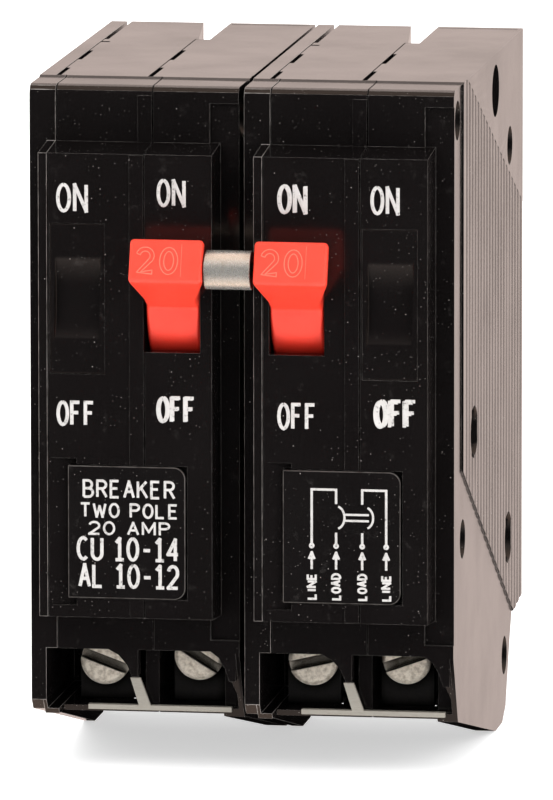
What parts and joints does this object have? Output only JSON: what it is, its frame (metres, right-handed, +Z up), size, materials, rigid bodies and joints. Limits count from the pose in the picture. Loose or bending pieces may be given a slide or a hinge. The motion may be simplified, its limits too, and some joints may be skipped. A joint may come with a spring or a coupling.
{
  "type": "two-pole circuit breaker",
  "caption": "Two-pole plug-on circuit breaker in a quad body: two black duplex modules, tied red handles, blanked outer slots and screw terminals.",
  "frame": {"origin": "middle of the bounding box at its lowest level, the sole of the foot", "axes": "+X to the right seen from the front, -Y out of the panel where the handles point, +Z up, the ON direction of the handles"},
  "size_m": [0.0508, 0.0742, 0.083],
  "materials": {
    "case_black": "glossy moulded phenolic, dusty",
    "label_black": "satin, printed white",
    "handle_red": "glossy moulded nylon",
    "zinc_steel": "dull zinc plate",
    "tin_plate": "tin plated spring strip",
    "terminal_steel": "rough nickel plate",
    "black_steel": "blackened steel strip",
    "pale_fibre": "pressed insulating fibre",
    "copper": "bare copper strip",
    "trip_plastic": "plain",
    "inner_steel": "plain steel"
  },
  "bodies": {
    "case": {"left_left_cover": "case_black", "left_centre_tray": "case_black", "left_right_tray": "case_black", "left_handle_blank": "case_black", "left_label_plate": "label_black", "left_stab_clip": "tin_plate", "left_liner": "pale_fibre", "left_fixed_contact": "copper", "left_line_link": "copper", "left_arc_chute": "inner_steel", "left_magnet_yoke": "inner_steel", "left_bimetal": "inner_steel", "left_braid": "copper", "left_calibration_screw": "inner_steel", "left_line_strap": "black_steel", "left_load_strap": "black_steel", "left_rivets": "black_steel", "right_left_cover": "case_black", "right_centre_tray": "case_black", "right_right_tray": "case_black", "right_handle_blank": "case_black", "right_label_plate": "label_black", "right_stab_clip": "tin_plate", "right_liner": "pale_fibre", "right_fixed_contact": "copper", "right_line_link": "copper", "right_arc_chute": "inner_steel", "right_magnet_yoke": "inner_steel", "right_bimetal": "inner_steel", "right_braid": "copper", "right_calibration_screw": "inner_steel", "right_line_strap": "black_steel", "right_load_strap": "black_steel", "right_rivets": "black_steel", "through_rivets": "black_steel"},
    "handles": {"left_handle": "handle_red", "right_handle": "handle_red", "tie_pin": "zinc_steel"},
    "tie_sleeve": {"tie_sleeve": "zinc_steel"},
    "trip_unit": {"trip_bar": "trip_plastic", "left_armature": "inner_steel", "right_armature": "inner_steel"},
    "left_contact_arm": {"left_contact_arm": "copper", "left_moving_contact": "copper", "left_toggle_spring": "inner_steel"},
    "right_contact_arm": {"right_contact_arm": "copper", "right_moving_contact": "copper", "right_toggle_spring": "inner_steel"},
    "left_cradle": {"left_cradle": "inner_steel"},
    "right_cradle": {"right_cradle": "inner_steel"},
    "left_line_clamp_plate": {"left_line_clamp_plate": "black_steel"},
    "left_line_screw": {"left_line_screw": "terminal_steel"},
    "left_load_clamp_plate": {"left_load_clamp_plate": "black_steel"},
    "left_load_screw": {"left_load_screw": "terminal_steel"},
    "right_line_clamp_plate": {"right_line_clamp_plate": "black_steel"},
    "right_line_screw": {"right_line_screw": "terminal_steel"},
    "right_load_clamp_plate": {"right_load_clamp_plate": "black_steel"},
    "right_load_screw": {"right_load_screw": "terminal_steel"}
  },
  "joints": [
    {"name": "handle_throw", "type": "hinge", "parent": "case", "child": "handles", "pos_m": [0, -0.0205, 0.0583], "axis": [1, 0, 0], "range_deg": [0, 34]},
    {"name": "sleeve_spin", "type": "hinge", "parent": "handles", "child": "tie_sleeve", "pos_m": [0.0003, -0.03404, 0.06275], "axis": [1, 0, 0], "continuous": true},
    {"name": "left_arm_swing", "type": "hinge", "parent": "case", "child": "left_contact_arm", "pos_m": [-0.0073, -0.0059, 0.05], "axis": [1, 0, 0], "range_deg": [-15, 0]},
    {"name": "right_arm_swing", "type": "hinge", "parent": "case", "child": "right_contact_arm", "pos_m": [0.00742, -0.0059, 0.05], "axis": [1, 0, 0], "range_deg": [-15, 0]},
    {"name": "trip_swing", "type": "hinge", "parent": "case", "child": "trip_unit", "pos_m": [0, 0.0071, 0.03], "axis": [1, 0, 0], "range_deg": [-6, 0], "stiffness_Nm_per_rad": 0.01},
    {"name": "left_cradle_swing", "type": "hinge", "parent": "case", "child": "left_cradle", "pos_m": [-0.0073, -0.0099, 0.044], "axis": [1, 0, 0], "range_deg": [0, 8]},
    {"name": "right_cradle_swing", "type": "hinge", "parent": "case", "child": "right_cradle", "pos_m": [0.00742, -0.0099, 0.044], "axis": [1, 0, 0], "range_deg": [0, 8]},
    {"name": "left_line_clamp_travel", "type": "slide", "parent": "case", "child": "left_line_clamp_plate", "axis": [0, -1, 0], "range_m": [0, 0.0025]},
    {"name": "left_line_screw_turn", "type": "hinge", "parent": "left_line_clamp_plate", "child": "left_line_screw", "pos_m": [-0.0175, -0.0174, 0.0131], "axis": [0, -1, 0], "range_deg": [0, 1125]},
    {"name": "left_load_clamp_travel", "type": "slide", "parent": "case", "child": "left_load_clamp_plate", "axis": [0, -1, 0], "range_m": [0, 0.0025]},
    {"name": "left_load_screw_turn", "type": "hinge", "parent": "left_load_clamp_plate", "child": "left_load_screw", "pos_m": [-0.0062, -0.0174, 0.0139], "axis": [0, -1, 0], "range_deg": [0, 1125]},
    {"name": "right_line_clamp_travel", "type": "slide", "parent": "case", "child": "right_line_clamp_plate", "axis": [0, -1, 0], "range_m": [0, 0.0025]},
    {"name": "right_line_screw_turn", "type": "hinge", "parent": "right_line_clamp_plate", "child": "right_line_screw", "pos_m": [0.0187, -0.0174, 0.014], "axis": [0, -1, 0], "range_deg": [0, 1125]},
    {"name": "right_load_clamp_travel", "type": "slide", "parent": "case", "child": "right_load_clamp_plate", "axis": [0, -1, 0], "range_m": [0, 0.0025]},
    {"name": "right_load_screw_turn", "type": "hinge", "parent": "right_load_clamp_plate", "child": "right_load_screw", "pos_m": [0.0075, -0.0174, 0.0136], "axis": [0, -1, 0], "range_deg": [0, 1125]}
  ],
  "couplings": [
    {"joint": "left_arm_swing", "follows": "handle_throw", "ratio": -0.44118},
    {"joint": "right_arm_swing", "follows": "handle_throw", "ratio": -0.44118},
    {"joint": "left_cradle_swing", "follows": "trip_swing", "ratio": -1.3333},
    {"joint": "right_cradle_swing", "follows": "trip_swing", "ratio": -1.3333},
    {"joint": "left_line_screw_turn", "follows": "left_line_clamp_travel", "rad_per_m": 7854},
    {"joint": "left_load_screw_turn", "follows": "left_load_clamp_travel", "rad_per_m": 7854},
    {"joint": "right_line_screw_turn", "follows": "right_line_clamp_travel", "rad_per_m": 7854},
    {"joint": "right_load_screw_turn", "follows": "right_load_clamp_travel", "rad_per_m": 7854}
  ]
}
